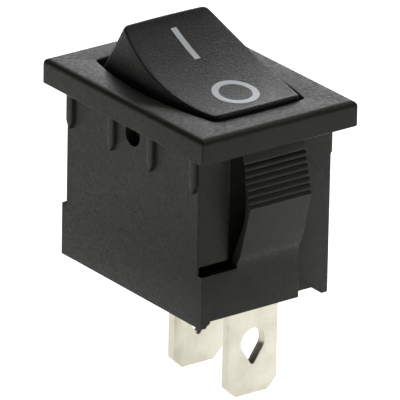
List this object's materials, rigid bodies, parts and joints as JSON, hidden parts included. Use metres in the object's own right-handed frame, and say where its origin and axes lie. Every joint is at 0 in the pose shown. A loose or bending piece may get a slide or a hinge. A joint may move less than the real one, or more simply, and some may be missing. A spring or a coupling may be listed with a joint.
{
  "type": "rocker switch",
  "caption": "Snap-in miniature rocker switch with a framed rocker, ribbed end clips and flat tab terminals for a panel cut-out.",
  "frame": {"origin": "centre of the bezel's underside, in the plane of the panel's face", "axes": "+Z out of the panel, +X along the rocker to its pressed OFF end, +Y across the switch"},
  "size_m": [0.0216, 0.015, 0.0278],
  "materials": {
    "housing_black": "black nylon, lightly spark-eroded",
    "rocker_black": "black nylon, fine grained top",
    "plunger_white": "white acetal, smooth",
    "spring_steel": "drawn steel wire",
    "blade_copper": "rolled copper alloy",
    "contact_silver": "silver alloy contact face",
    "terminal_plated": "brass tab with pale bright plating"
  },
  "bodies": {
    "housing": {"housing": "housing_black", "common_terminal": "terminal_plated", "load_terminal": "terminal_plated", "fixed_contact": "contact_silver"},
    "rocker": {"rocker": "rocker_black", "plunger_spring": "spring_steel"},
    "plunger": {"plunger": "plunger_white"},
    "blade": {"contact_blade": "blade_copper", "moving_contact": "contact_silver"},
    "clip_off_end": {"snap_clip_off_end": "housing_black"},
    "clip_on_end": {"snap_clip_on_end": "housing_black"}
  },
  "joints": [
    {"name": "rocker_tilt", "type": "hinge", "parent": "housing", "child": "rocker", "pos_m": [0, 0, -0.0011], "axis": [0, -1, 0], "range_deg": [0, 32]},
    {"name": "blade_tilt", "type": "hinge", "parent": "housing", "child": "blade", "pos_m": [0.0001, 0, -0.0072], "axis": [0, -1, 0], "range_deg": [-16, 0]},
    {"name": "plunger_slide", "type": "slide", "parent": "rocker", "child": "plunger", "axis": [0.2756, 0, 0.9613], "range_m": [0, 0.0009], "stiffness_N_per_m": 400, "springref_m": -0.002, "deforming": ["plunger_spring"]},
    {"name": "clip_off_end_bend", "type": "hinge", "parent": "housing", "child": "clip_off_end", "pos_m": [0.00882, 0, -0.0122], "axis": [0, -1, 0], "range_deg": [0, 7.5], "stiffness_Nm_per_rad": 0.2},
    {"name": "clip_on_end_bend", "type": "hinge", "parent": "housing", "child": "clip_on_end", "pos_m": [-0.00882, 0, -0.0122], "axis": [0, 1, 0], "range_deg": [0, 7.5], "stiffness_Nm_per_rad": 0.2}
  ],
  "couplings": [
    {"joint": "blade_tilt", "follows": "rocker_tilt", "ratio": -0.5}
  ]
}
